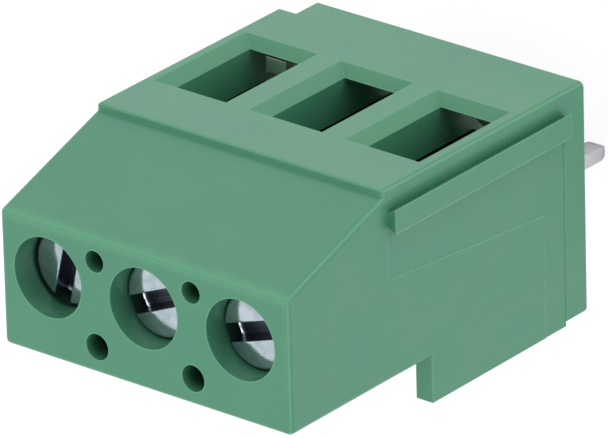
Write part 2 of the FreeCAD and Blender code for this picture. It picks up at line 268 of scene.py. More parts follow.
def new_group(name: str, inputs: dict[str, float], outputs: dict[str, str]) -> tuple[Graph, dict, dict]:
    """Start a shader node group with named sockets.

    Args:
        name: The group's name.
        inputs: Number inputs with their usual values.
        outputs: Outputs with their socket types.

    Returns:
        The graph to fill, its input sockets and its output sockets, by name.
    """
    tree = bpy.data.node_groups.new(name, "ShaderNodeTree")
    for label, usual in inputs.items():
        tree.interface.new_socket(label, in_out="INPUT", socket_type="NodeSocketFloat").default_value = usual
    for label, kind in outputs.items():
        tree.interface.new_socket(label, in_out="OUTPUT", socket_type=kind)
    entry = tree.nodes.new("NodeGroupInput")
    leave = tree.nodes.new("NodeGroupOutput")
    return Graph(tree), {k: entry.outputs[k] for k in inputs}, {k: leave.inputs[k] for k in outputs}


def soft_edges_group() -> bpy.types.NodeTree:
    """Rounded normals at sharp edges, a wider mask of those edges, and a mask of the modelled rounds.

    The edge mask is one minus the cosine between a more widely rounded normal and the true one. The round
    mask is one minus the largest of the true normal's three shares, which is high halfway round a
    modelled round and low on the flat faces. Both are spread to 0..1.

    Returns:
        The node group.
    """
    edge_span, round_span = (0.004, 0.12), (0.08, 0.26)
    graph, given, out = new_group("soft_edges", {"Radius": 0.05 * MM, "Mask Radius": 0.05 * MM},
                                  {"Normal": "NodeSocketVector", "Edge": "NodeSocketFloat",
                                   "Round": "NodeSocketFloat"})
    rounded = graph.add("Bevel", samples=6)
    graph.feed(rounded.inputs["Radius"], given["Radius"])
    wide = graph.add("Bevel", samples=6)
    graph.feed(wide.inputs["Radius"], given["Mask Radius"])
    true = graph.add("NewGeometry")
    both = graph.add("VectorMath", operation="DOT_PRODUCT")
    graph.feed(both.inputs[0], wide.outputs["Normal"])
    graph.feed(both.inputs[1], true.outputs["Normal"])
    away = graph.calculate("SUBTRACT", 1.0, both.outputs["Value"])
    graph.feed(out["Normal"], rounded.outputs["Normal"])
    graph.feed(out["Edge"], graph.spread(away, *edge_span))
    shares = graph.add("SeparateXYZ")
    graph.feed(shares.inputs[0], true.outputs["Normal"])
    sizes = [graph.calculate("ABSOLUTE", share) for share in shares.outputs]
    largest = graph.calculate("MAXIMUM", graph.calculate("MAXIMUM", sizes[0], sizes[1]), sizes[2])
    graph.feed(out["Round"], graph.spread(graph.calculate("SUBTRACT", 1.0, largest), *round_span))
    return graph.tree


def moulded_grain_group() -> bpy.types.NodeTree:
    """The fine eroded grain of a moulding tool, with broad waviness and a slow change of tone.

    The height is a fine noise plus a weak broad one, and the tone is a broad noise about one half.

    Returns:
        The node group.
    """
    wave_share = 0.6
    graph, given, out = new_group("moulded_grain", {"Grain Size": 0.05 * MM, "Wave Size": 2.4 * MM},
                                  {"Height": "NodeSocketFloat", "Tone": "NodeSocketFloat"})
    place = graph.on_piece()
    fine = graph.noise(place, given["Grain Size"], detail=3.0)
    wave = graph.noise(place, given["Wave Size"], detail=1.0)
    broad = graph.calculate("MULTIPLY", wave, wave_share)
    graph.feed(out["Height"], graph.calculate("ADD", fine, broad))
    graph.feed(out["Tone"], wave)
    return graph.tree


def handling_group() -> bpy.types.NodeTree:
    """Dust specks and faint rub marks left by handling.

    Specks are where a fine noise is high, and rubs where a noise stretched along one direction is high.

    Returns:
        The node group.
    """
    speck_span, rub_span = (0.72, 0.82), (0.45, 0.85)
    graph, given, out = new_group("handling", {"Speck Size": 0.12 * MM, "Rub Size": 1.1 * MM},
                                  {"Specks": "NodeSocketFloat", "Rubs": "NodeSocketFloat"})
    place = graph.on_piece()
    specks = graph.noise(place, given["Speck Size"], detail=1.0)
    rubs = graph.noise(graph.stretched(place, (0.3, 0.5, 0.7), 0.25), given["Rub Size"])
    graph.feed(out["Specks"], graph.spread(specks, *speck_span))
    graph.feed(out["Rubs"], graph.spread(rubs, *rub_span))
    return graph.tree


def scratches_group() -> bpy.types.NodeTree:
    """Fine crossed scratches and a haze that changes over plated metal.

    Scratches are two noises stretched along different directions, and the haze is a broad noise.

    Returns:
        The node group.
    """
    graph, given, out = new_group("scratches", {"Scratch Size": 0.03 * MM, "Haze Size": 0.6 * MM},
                                  {"Height": "NodeSocketFloat", "Haze": "NodeSocketFloat"})
    place = graph.on_piece()
    marks = [graph.noise(graph.stretched(place, turn, 0.04), given["Scratch Size"], detail=1.0)
             for turn in ((0.2, 0.1, 0.6), (0.4, 1.3, 2.1))]
    graph.feed(out["Height"], graph.calculate("ADD", *marks))
    graph.feed(out["Haze"], graph.noise(place, given["Haze Size"], detail=3.0))
    return graph.tree


def from_pole_group() -> bpy.types.NodeTree:
    """Distances from the nearest pole's axis.

    Across is the distance along X to the nearest pole. Reach is the distance to its axis: the root of
    across squared plus the square of the way to the axis along Y. Height is the place along Z.

    Returns:
        The node group.
    """
    graph, given, out = new_group("from_pole", {"Pitch": 5.08 * MM, "Axis Y": -0.34 * MM},
                                  {"Across": "NodeSocketFloat", "Reach": "NodeSocketFloat",
                                   "Height": "NodeSocketFloat"})
    x, y, z = graph.coordinates()
    poles = graph.calculate("DIVIDE", x, given["Pitch"])
    nearest = graph.calculate("MULTIPLY", graph.calculate("ROUND", poles), given["Pitch"])
    along_x = graph.calculate("SUBTRACT", x, nearest)
    along_y = graph.calculate("SUBTRACT", y, given["Axis Y"])
    squares = graph.calculate("ADD", graph.calculate("MULTIPLY", along_x, along_x),
                              graph.calculate("MULTIPLY", along_y, along_y))
    graph.feed(out["Across"], graph.calculate("ABSOLUTE", along_x))
    graph.feed(out["Reach"], graph.calculate("SQRT", squares))
    graph.feed(out["Height"], z)
    return graph.tree


class Effects(Enum):
    """The shared effects, each built once as a node group."""

    SOFT_EDGES = "soft_edges"
    FROM_POLE = "from_pole"
    MOULDED_GRAIN = "moulded_grain"
    HANDLING = "handling"
    SCRATCHES = "scratches"

    def tree(self) -> bpy.types.NodeTree:
        """The effect's node group, built at its first use."""
        makers = {"soft_edges": soft_edges_group, "moulded_grain": moulded_grain_group,
                  "handling": handling_group, "scratches": scratches_group, "from_pole": from_pole_group}
        return bpy.data.node_groups.get(self.value) or makers[self.value]()

    def place(self, graph: Graph, **sizes: float) -> bpy.types.Node:
        """Put the effect into a material.

        Args:
            graph: The material's graph.
            **sizes: Input values, in metres, with underscores for the blanks in their names.

        Returns:
            The group's node.
        """
        node = graph.add("Group", node_tree=self.tree())
        for name, value in sizes.items():
            node.inputs[name.replace("_", " ").title()].default_value = value
        return node


@dataclass(frozen=True)
class MouldedPlastic:
    """Satin moulded polyamide.

    The shares say how far an effect turns the body's colour, among them painted highlights on edges and
    painted shade in the bores. A ridge, along which a highlight is painted, and the lip's foot, where no
    edge highlight is painted, are places along Y and Z. The raised field is the one on the tongue's end,
    with its upper corner at a Y and a Z.
    """

    slot: Slot
    colour: tuple[int, int, int]
    pale_colour: tuple[int, int, int]
    # colour of the painted highlights along edges, rounds, the ridge and the raised field's edge
    edge_highlight_colour: tuple[int, int, int]
    tone_span: tuple[float, float] = (0.30, 0.70)
    # colour of the painted shade in the wells round the heads and in the blind holes
    dark: tuple[int, int, int] = (20, 34, 30)
    dust: tuple[float, float, float, float] = (0.75, 0.75, 0.72, 1.0)
    dust_share: float = 0.05
    roughness: float = 0.30
    rub_shine: float = 0.05
    refraction: float = 1.45
    grain_size: float = 0.045
    grain_depth: float = 0.004
    grain_strength: float = 0.30
    edge_radius: float = 0.035
    edge_width: float = 0.10
    edge_highlight_share: float = 0.60
    round_highlight_share: float = 0.36
    side_reach: float = 7.2
    bored_span: tuple[float, float] = (-2.35, 2.75)
    mouth_span: tuple[float, float] = (-5.27, -4.7)
    mouth_rise: tuple[float, float] = (4.1, 10.3)
    mouth_loss: float = 0.6
    ridge: tuple[float, float] = (-2.81, 19.67)
    ridge_reach: float = 0.55
    ridge_highlight_share: float = 0.20
    lip_foot: tuple[float, float] = (-4.96, 13.36)
    foot_reach: float = 0.24
    field_corner: tuple[float, float] = (-1.23, 13.15)
    field_foot: float = 2.80
    field_slant: float = 0.0957
    field_line: tuple[float, float] = (-0.03, 0.04)
    field_end: float = -7.4
    field_highlight_share: float = 0.42
    ring_reach: float = 1.85
    ring_low: float = 16.0
    ring_top: float = 18.3
    ring_fade: float = 0.3
    ring_share: float = 0.85
    hole_shade_low: float = 18.6
    hole_shade_top: float = 19.6
    hole_share: float = 0.7

    def material(self) -> bpy.types.Material:
        """Build the material.

        Returns:
            Coloured plastic with a slow change of tone, painted highlights along edges, specks of dust,
            painted shade in the bores, rubbed patches that shine more, and the tool's grain as its bump.
        """
        made = bpy.data.materials.new(self.slot.value)
        made.use_nodes = True
        graph = Graph(made.node_tree)
        shader = made.node_tree.nodes["Principled BSDF"]
        edges = Effects.SOFT_EDGES.place(graph, radius=self.edge_radius * MM,
                                         mask_radius=self.edge_width * MM)
        grain = Effects.MOULDED_GRAIN.place(graph, grain_size=self.grain_size * MM)
        marks = Effects.HANDLING.place(graph)
        tone = graph.spread(grain.outputs["Tone"], *self.tone_span)
        body = graph.blend(tone, linear(*self.colour), linear(*self.pale_colour))
        # no painted edge highlight near the lip's foot
        kept = graph.calculate("SUBTRACT", 1.0, self.beside_line(graph, self.lip_foot, self.foot_reach))
        sharp = graph.calculate("MULTIPLY", edges.outputs["Edge"], kept)
        rounds = graph.calculate("MULTIPLY", edges.outputs["Round"], self.outer_share(graph))
        ridge = self.beside_line(graph, self.ridge, self.ridge_reach)
        # painted highlights: sharp edges, outer rounds, the raised field's edge and the ridge turn paler
        highlight = 0.0
        for mask, share in ((sharp, self.edge_highlight_share), (self.field_edge_highlight(graph), self.field_highlight_share),
                            (rounds, self.round_highlight_share), (ridge, self.ridge_highlight_share)):
            highlight = graph.calculate("MAXIMUM", highlight, graph.calculate("MULTIPLY", mask, share))
        highlighted = graph.blend(highlight, body, linear(*self.edge_highlight_colour))
        dusty = graph.calculate("MULTIPLY", marks.outputs["Specks"], self.dust_share)
        dusted = graph.blend(dusty, highlighted, self.dust)
        # painted shade: the wells round the heads and the blind holes are darkened towards the dark colour
        graph.feed(shader.inputs["Base Color"], graph.blend(self.painted_recess_shade(graph), dusted, linear(*self.dark)))
        rubbed = graph.calculate("MULTIPLY", marks.outputs["Rubs"], -self.rub_shine)
        graph.feed(shader.inputs["Roughness"], graph.calculate("ADD", rubbed, self.roughness))
        shader.inputs["IOR"].default_value = self.refraction
        graph.engrave(shader, grain.outputs["Height"], edges, self.grain_depth, self.grain_strength)
        return made

    def outer_share(self, graph: Graph) -> bpy.types.NodeSocket:
        """How far a round lies outside: none in the wells and blind holes, little in the wire funnels.

        Args:
            graph: The material's graph.

        Returns:
            A share from 0 to 1.
        """
        x, y, z = graph.coordinates()
        across = graph.between(x, (-self.side_reach, self.side_reach))
        mouths = graph.calculate("MULTIPLY", across, graph.between(z, self.mouth_rise))
        funnels = graph.calculate("MULTIPLY", graph.between(y, self.mouth_span), mouths)
        lost = graph.calculate("MULTIPLY", funnels, self.mouth_loss)
        less = graph.calculate("ADD", self.bored(graph), lost)
        return graph.calculate("SUBTRACT", 1.0, less, clamp=True)

    def beside_line(self, graph: Graph, line: tuple[float, float], reach: float) -> bpy.types.NodeSocket:
        """A band along a line that runs along X, which fades with the distance to it.

        Args:
            graph: The material's graph.
            line: The line's place along Y and Z.
            reach: The distance at which nothing is left.

        Returns:
            The band's share, 1 on the line.
        """
        beside = graph.add("VectorMath", operation="MULTIPLY")
        graph.feed(beside.inputs[0], graph.on_piece())
        beside.inputs[1].default_value = (0.0, 1.0, 1.0)
        away = graph.add("VectorMath", operation="DISTANCE")
        graph.feed(away.inputs[0], beside.outputs["Vector"])
        away.inputs[1].default_value = (0.0, line[0] * MM, line[1] * MM)
        share = graph.calculate("DIVIDE", away.outputs["Value"], reach * MM)
        return graph.spread(share, 0.0, 1.0, 1.0, 0.0)

    def field_edge_highlight(self, graph: Graph) -> bpy.types.NodeSocket:
        """A painted highlight along the edge of the raised field on the tongue's end, which slants along Z.

        The edge lies at y = corner_y + slant * (corner_z - z).

        Args:
            graph: The material's graph.

        Returns:
            A gate that is 1 along the edge.
        """
        x, y, z = graph.coordinates()
        corner_y, corner_z = self.field_corner
        drop = graph.calculate("MULTIPLY", graph.calculate("SUBTRACT", z, corner_z * MM), self.field_slant)
        straightened = graph.calculate("ADD", y, drop)
        beside = graph.between(straightened, [corner_y + side for side in self.field_line])
        along = graph.between(z, (self.field_foot, corner_z))
        end = graph.calculate("LESS_THAN", x, self.field_end * MM)
        return graph.calculate("MULTIPLY", graph.calculate("MULTIPLY", beside, along), end)

    def bored(self, graph: Graph) -> bpy.types.NodeSocket:
        """A gate that is 1 in the strip of the wells and blind holes, seen along Z."""
        x, y, _ = graph.coordinates()
        across = graph.between(x, (-self.side_reach, self.side_reach))
        return graph.calculate("MULTIPLY", across, graph.between(y, self.bored_span))

    def painted_recess_shade(self, graph: Graph) -> bpy.types.NodeSocket:
        """Painted shade: dark rings on the wells' walls round the screw heads, and darkening deeper in the
        blind holes.

        A ring covers what lies near a pole's axis from the well's floor up to the head, and fades out
        above. The blind holes lie between the poles and darken with depth.

        Args:
            graph: The material's graph.

        Returns:
            The painted shade's share.
        """
        pole = Effects.FROM_POLE.place(graph)
        inside = graph.calculate("LESS_THAN", pole.outputs["Reach"], self.ring_reach * MM)
        height = graph.calculate("DIVIDE", pole.outputs["Height"], MM)
        above = graph.calculate("GREATER_THAN", height, self.ring_low)
        faded = graph.spread(height, self.ring_top, self.ring_top + self.ring_fade, self.ring_share, 0.0)
        ring = graph.calculate("MULTIPLY", inside, faded)
        between = graph.calculate("GREATER_THAN", pole.outputs["Across"], self.ring_reach * MM)
        deep = graph.spread(height, self.hole_shade_low, self.hole_shade_top, self.hole_share, 0.0)
        holes = graph.calculate("MULTIPLY", graph.calculate("MULTIPLY", between, deep), self.bored(graph))
        return graph.calculate("MULTIPLY", graph.calculate("MAXIMUM", ring, holes), above)


@dataclass(frozen=True)
class PlatedMetal:
    """Metal under a thin plating, with scratches and haze.

    Turned pieces have turning marks, and painted shade in their slot. Painted shade also covers what lies
    farther than a set distance from the nearest pole's middle plane, where that is set. A matt plating has a
    lower metallic value.
    """

    slot: Slot
    bright: tuple[int, int, int]
    dull: tuple[int, int, int]
    roughness: float
    metallic: float = 1.0
    tone_span: tuple[float, float] = (0.35, 0.65)
    haze_span: tuple[float, float] = (0.25, 0.75)
    haze_change: tuple[float, float] = (0.85, 1.25)
    edge_radius: float = 0.05
    edge_shine: float = 0.5
    scratch_depth: float = 0.002
    scratch_strength: float = 0.30
    turned: bool = False
    ring_size: float = 0.07
    ring_height: float = 1.6
    # colour of the painted shade in the screw slot
    slot_shade: tuple[int, int, int] = (104, 108, 126)
    slot_shade_span: tuple[float, float] = (0.02, 0.22)
    slot_shade_roughness: float = 0.18
    smear: tuple[int, int, int] = (140, 134, 138)
    smear_share: float = 0.30
    streak_size: float = 0.09
    streak_span: tuple[float, float] = (0.52, 0.72)
    streak_share: float = 0.45
    # painted shade on the cage's sides: where it starts, its colour and share
    shaded_from: float = 0.0
    side_shade: tuple[int, int, int] = (38, 36, 32)
    side_shade_share: float = 0.9

    def material(self) -> bpy.types.Material:
        """Build the material.

        Returns:
            Metal whose tone and roughness follow the haze, with fine scratches as its bump.
        """
        made = bpy.data.materials.new(self.slot.value)
        made.use_nodes = True
        graph = Graph(made.node_tree)
        shader = made.node_tree.nodes["Principled BSDF"]
        shader.inputs["Metallic"].default_value = self.metallic
        edges = Effects.SOFT_EDGES.place(graph, radius=self.edge_radius * MM)
        marks = Effects.SCRATCHES.place(graph)
        haze = graph.spread(marks.outputs["Haze"], *self.tone_span)
        body = graph.blend(haze, linear(*self.bright), linear(*self.dull))
        # painted highlight: sharp edges take the bright plating colour
        shine = graph.calculate("MULTIPLY", edges.outputs["Edge"], self.edge_shine)
        colour = graph.blend(shine, body, linear(*self.bright))
        least, most = (change * self.roughness for change in self.haze_change)
        rough = graph.spread(marks.outputs["Haze"], *self.haze_span, least, most)
        height = marks.outputs["Height"]
        if self.turned:
            height = graph.calculate("ADD", height, self.turning_marks(graph))
            # painted shade in the slot: from half its depth down the plating turns dark and rougher
            carried = graph.add("Attribute", attribute_name="slot_shade").outputs["Fac"]
            slot_shade_mask = graph.spread(carried, *self.slot_shade_span)
            rubs = Effects.HANDLING.place(graph).outputs["Rubs"]
            rubbed = graph.calculate("MULTIPLY", rubs, self.smear_share)
            colour = graph.blend(rubbed, colour, linear(*self.smear))
            colour = graph.blend(slot_shade_mask, colour, linear(*self.slot_shade))
            # lighter streaks break up the painted shade in the slot
            streaked = graph.calculate("MULTIPLY", slot_shade_mask, self.slot_streaks(graph))
            colour = graph.blend(streaked, colour, linear(*self.bright))
            rougher = graph.calculate("MULTIPLY", slot_shade_mask, self.slot_shade_roughness)
            rough = graph.calculate("ADD", rough, rougher)
        # painted shade: what lies beyond the set distance from the pole's middle plane turns near black
        if self.shaded_from:
            across = Effects.FROM_POLE.place(graph).outputs["Across"]
            side = graph.calculate("GREATER_THAN", across, self.shaded_from * MM)
            side_shaded = graph.calculate("MULTIPLY", side, self.side_shade_share)
            colour = graph.blend(side_shaded, colour, linear(*self.side_shade))
        graph.feed(shader.inputs["Base Color"], colour)
        graph.feed(shader.inputs["Roughness"], rough)
        graph.engrave(shader, height, edges, self.scratch_depth, self.scratch_strength)
        return made

    def slot_streaks(self, graph: Graph) -> bpy.types.NodeSocket:
        """Lighter streaks along the slot, where its painted shade gives way to the bright plating: a noise
        of the distance from its middle plane.

        Args:
            graph: The material's graph.

        Returns:
            The streaks' share.
        """
        streaks = graph.lines("across_slot", self.streak_size)
        return graph.spread(streaks, *self.streak_span, 0.0, self.streak_share)

    def turning_marks(self, graph: Graph) -> bpy.types.NodeSocket:
        """Rings left by the lathe: a noise of the distance to the screw's axis, which the mesh carries.

        Args:
            graph: The material's graph.

        Returns:
            The rings' height.
        """
        return graph.calculate("MULTIPLY", graph.lines("axis_distance", self.ring_size), self.ring_height)


# Meshes


class Shell:
    """Points and faces of closed surfaces, in millimetres, gathered before they become one mesh."""

    def __init__(self) -> None:
        """Start with nothing."""
        self.points: list[np.ndarray] = []
        self.faces: list[list[int]] = []
        self.count = 0

    def add_grid(self, grid: np.ndarray, wrap: bool = False, caps: bool = False) -> None:
        """Add a surface given on a grid of rows by columns.

        Args:
            grid: Points, shaped rows by columns by three.
            wrap: Whether the last column joins the first.
            caps: Whether the first and the last row are closed with a flat face.
        """
        rows, columns = grid.shape[:2]
        row = np.arange(rows - 1)[:, None]
        column = np.arange(columns if wrap else columns - 1)[None, :]
        beside = (column + 1) % columns
        quads = np.stack([row * columns + column, row * columns + beside, (row + 1) * columns + beside,
                          (row + 1) * columns + column], axis=-1).reshape(-1, 4) + self.count
        self.faces += quads.tolist()
        if caps:
            first = self.count + np.arange(columns)
            self.faces.append(first[::-1].tolist())
            self.faces.append((first + (rows - 1) * columns).tolist())
        self.points.append(grid.reshape(-1, 3))
        self.count += rows * columns

    def piece(self, name: str, material: bpy.types.Material, sharp: float = 40.0) -> bpy.types.Object:
        """Make the gathered surfaces one object.

        Args:
            name: The object's name.
            material: Its finish.
            sharp: The angle in degrees from which an edge is drawn sharp.

        Returns:
            The object, at the origin, with its place in its mesh.
        """
        mesh = bpy.data.meshes.new(name)
        mesh.from_pydata((np.concatenate(self.points) * MM).tolist(), [], self.faces)
        work = bmesh.new()
        work.from_mesh(mesh)
        bmesh.ops.remove_doubles(work, verts=work.verts, dist=0.0005 * MM)
        bmesh.ops.dissolve_degenerate(work, edges=work.edges, dist=0.0005 * MM)
        bmesh.ops.recalc_face_normals(work, faces=work.faces)
        work.to_mesh(mesh)
        work.free()
        mesh.shade_smooth()
        mesh.set_sharp_from_angle(angle=math.radians(sharp))
        mesh.materials.append(material)
        made = bpy.data.objects.new(name, mesh)
        bpy.context.scene.collection.objects.link(made)
        return made


@dataclass
class ClampScrew:
    """A slotted clamp screw: crowned head with a chamfered rim, and a rolled right-hand thread."""

    number: int
    slot_turn: float
    head_radius: float = 1.72
    head_height: float = 1.80
    rim_round: float = 0.17
    crown: float = 0.015
    slot_width: float = 0.82
    slot_depth: float = 0.95
    slot_lip: float = 0.04
    lip_fall: float = 0.6
    burr: float = 0.09
    burr_reach: float = 0.24
    burr_change: float = 0.25
    burr_waves: float = 2.5
    foot_round: float = 0.10
    thread_radius: float = 1.25
    thread_depth: float = 0.27
    thread_pitch: float = 0.45
    flank_gain: float = 1.35
    root_flat: float = 0.15
    plain_neck: float = 0.45
    tip_length: float = 0.45
    tip_share: float = 0.62
    overlap: float = 0.3
    floor_columns: int = 5
    streak_shift: float = 3.0
    bare_end: float = 0.2
    across: int = 22
    along: int = 40
    around: int = 56
    steps: int = 10

    @property
    def node(self) -> str:
        """The CAD node that this piece stands for."""
        return f"clamp_screw_{self.number}"

    def across_places(self) -> np.ndarray:
        """Distances from the slot's middle line, each slot wall's top doubled by its foot.

        Returns:
            Two rows: the distance, and 1 where the point lies on the slot's floor.
        """
        half = self.slot_width / 2
        turn = np.linspace(0.0, math.pi / 2, self.across)
        outside = half + self.slot_lip + (self.head_radius - half - self.slot_lip) * np.sin(turn)
        lip = half + self.slot_lip * np.array([0.0, 0.35, 0.7])
        floor = np.linspace(0.0, half, self.floor_columns)
        right = np.concatenate([floor, lip, outside])
        low = np.concatenate([np.ones_like(floor), np.zeros(len(lip) + self.across)])
        place = np.concatenate([-right[:0:-1], right])
        return np.stack([place, np.concatenate([low[:0:-1], low])])

    def head_top(self, x: np.ndarray, y: np.ndarray, floor: np.ndarray, top: float) -> np.ndarray:
        """Height of the head's upper side.

        The crown falls with the square of the distance to the axis, the rim is a quarter circle, and the
        lip beside the slot falls a little towards it. The slot's floor is flat up to its ends, where the
        cutter left a burr that rises with the square of the way out and waves along the rim.

        Args:
            x: Distance across the slot.
            y: Distance along the slot.
            floor: 1 where the point lies on the slot's floor.
            top: Height of the head's highest point.

        Returns:
            The heights.
        """
        reach = np.hypot(x, y)
        crowned = top - self.crown * (reach / self.head_radius) ** 2
        into_rim = np.clip((reach - self.head_radius + self.rim_round) / self.rim_round, 0.0, 1.0)
        rimmed = crowned - self.rim_round * (1.0 - np.sqrt(1.0 - into_rim ** 2))
        into_lip = np.clip(1.0 - (np.abs(x) - self.slot_width / 2) / self.slot_lip, 0.0, 1.0)
        lipped = rimmed - self.lip_fall * self.slot_lip * into_lip ** 2
        into_end = np.clip((reach - self.head_radius + self.burr_reach) / self.burr_reach, 0.0, 1.0)
        wave = np.sin(self.burr_waves * 2.0 * math.pi * x / self.slot_width + np.sign(y))
        burred = self.burr * (1.0 - self.burr_change + self.burr_change * wave) * into_end ** 2
        return np.where(floor > 0.5, top - self.slot_depth + burred, lipped)

    def head(self, shell: Shell, seat: float) -> None:
        """Add the head: its upper side as a grid across and along the slot, then its wall and underside.

        Along the slot the points lie on chords of the head's circle, closer together near the rim. The wall
        drops from the grid's outline to a small round and the underside, which closes towards the axis.

        Args:
            shell: Where it goes.
            seat: Height of the underside.
        """
        place, floor = self.across_places()
        chord = np.sqrt(np.maximum(self.head_radius ** 2 - place ** 2, 0.0))
        share = np.sin(np.linspace(-math.pi / 2, math.pi / 2, self.along))
        x = np.repeat(place[:, None], self.along, axis=1)
        y = chord[:, None] * share[None, :]
        z = self.head_top(x, y, np.repeat(floor[:, None], self.along, axis=1), seat + self.head_height)
        upper = np.stack([x, y, z], axis=-1)
        shell.add_grid(upper)
        outline = np.concatenate([upper[:, 0], upper[::-1, -1]])
        rows = [outline]
        for inset, rise in ((0.0, 1.0), (0.3, 0.3), (1.0, 0.0)):
            share = 1.0 - inset * self.foot_round / self.head_radius
            ring = outline * np.array([share, share, 0.0])
            rows.append(ring + np.array([0.0, 0.0, seat + rise * self.foot_round]))
        rows.append(np.zeros_like(outline) + np.array([0.0, 0.0, seat]))
        shell.add_grid(np.stack(rows), wrap=True)

    def shank(self, shell: Shell, tip: float, seat: float) -> None:
        """Add the threaded shank, a radius given by height and angle.

        The rows climb with the angle by one pitch a turn, so that they follow the thread. Across one pitch
        the radius is a triangle wave with cut-off crest and root. It fades into the neck, and the cone at
        the tip, whose radius grows evenly with the height, cuts it off.

        Args:
            shell: Where it goes.
            tip: Height of the lower end.
            seat: Height of the upper end, at the head.
        """
        angle = np.linspace(0.0, 2.0 * math.pi, self.around, endpoint=False)
        count = int((seat - tip) / self.thread_pitch + 1.0) * self.steps
        climb = np.arange(-self.steps, count + 1) * self.thread_pitch / self.steps
        height = tip + climb[:, None] + self.thread_pitch * angle[None, :] / (2.0 * math.pi)
        wave = np.abs((climb / self.thread_pitch) % 1.0 - 0.5) * 2.0
        form = np.clip(wave * self.flank_gain - self.root_flat, 0.0, 1.0)[:, None]
        z = np.clip(height, tip, seat)
        root = self.thread_radius - self.thread_depth
        neck = np.clip((seat - self.plain_neck - z) / self.thread_pitch, 0.0, 1.0)
        radius = root + self.thread_depth * form * neck
        grown = self.tip_share + (1.0 - self.tip_share) * (z - tip) / self.tip_length
        radius = np.minimum(radius, grown * self.thread_radius)
        shell.add_grid(np.stack([radius * np.cos(angle), radius * np.sin(angle), z], axis=-1), wrap=True,
                       caps=True)

    def build(self, material: bpy.types.Material) -> bpy.types.Object:
        """Build the screw where its CAD node is.

        Args:
            material: Its finish.

        Returns:
            The piece, which moves with its screw body.
        """
        low, high = (np.array(corner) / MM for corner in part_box(self.node))
        seat = high[2] - self.head_height
        shell = Shell()
        self.head(shell, seat)
        self.shank(shell, low[2], seat + self.overlap)
        turn = math.radians(self.slot_turn - 90.0)
        spin = np.array([[math.cos(turn), math.sin(turn), 0.0], [-math.sin(turn), math.cos(turn), 0.0],
                         [0.0, 0.0, 1.0]])
        centre = np.array([(low[0] + high[0]) / 2, (low[1] + high[1]) / 2, 0.0])
        shell.points = [points @ spin + centre for points in shell.points]
        made = shell.piece(f"slotted_screw_{self.number}", material, sharp=35.0)
        self.mark_surface(made.data, centre, high[2])
        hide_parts(self.node)
        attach(made, f"screw_{self.number}")
        return made

    def mark_surface(self, mesh: bpy.types.Mesh, centre: np.ndarray, top: float) -> None:
        """Write into the mesh each point's distance to the axis and the slot, and the painted shade in the
        slot.

        The distances carry the turning marks and the streaks, which are shifted so that each screw has its
        own. The painted shade lies in the slot: it is 1 from half the slot's depth down to its floor, and
        falls to 0 on the burrs at the floor's ends.

        Args:
            mesh: The screw's mesh.
            centre: A point on the axis, in millimetres.
            top: Height of the head's highest point.
        """
        places = np.empty(len(mesh.vertices) * 3)
        mesh.vertices.foreach_get("co", places)
        places = places.reshape(-1, 3) / MM - centre
        reach = np.hypot(places[:, 0], places[:, 1])
        distance = mesh.attributes.new("axis_distance", "FLOAT", "POINT")
        distance.data.foreach_set("value", reach * MM)
        turn = math.radians(self.slot_turn)
        across = np.abs(places[:, 1] * math.cos(turn) - places[:, 0] * math.sin(turn))
        beside = mesh.attributes.new("across_slot", "FLOAT", "POINT")
        beside.data.foreach_set("value", (across + self.streak_shift * self.number) * MM)
        below = top - places[:, 2]
        margin = 0.01
        inside = (across < self.slot_width / 2 + margin) & (below < self.slot_depth + 2.0 * margin)
        depth = np.clip(below / (self.slot_depth / 2), 0.0, 1.0)
        off_burr = np.clip((self.head_radius - reach) / self.burr_reach - self.bare_end, 0.0, 1.0)
        slot_shade = mesh.attributes.new("slot_shade", "FLOAT", "POINT")
        slot_shade.data.foreach_set("value", np.where(inside, depth * off_burr, 0.0))


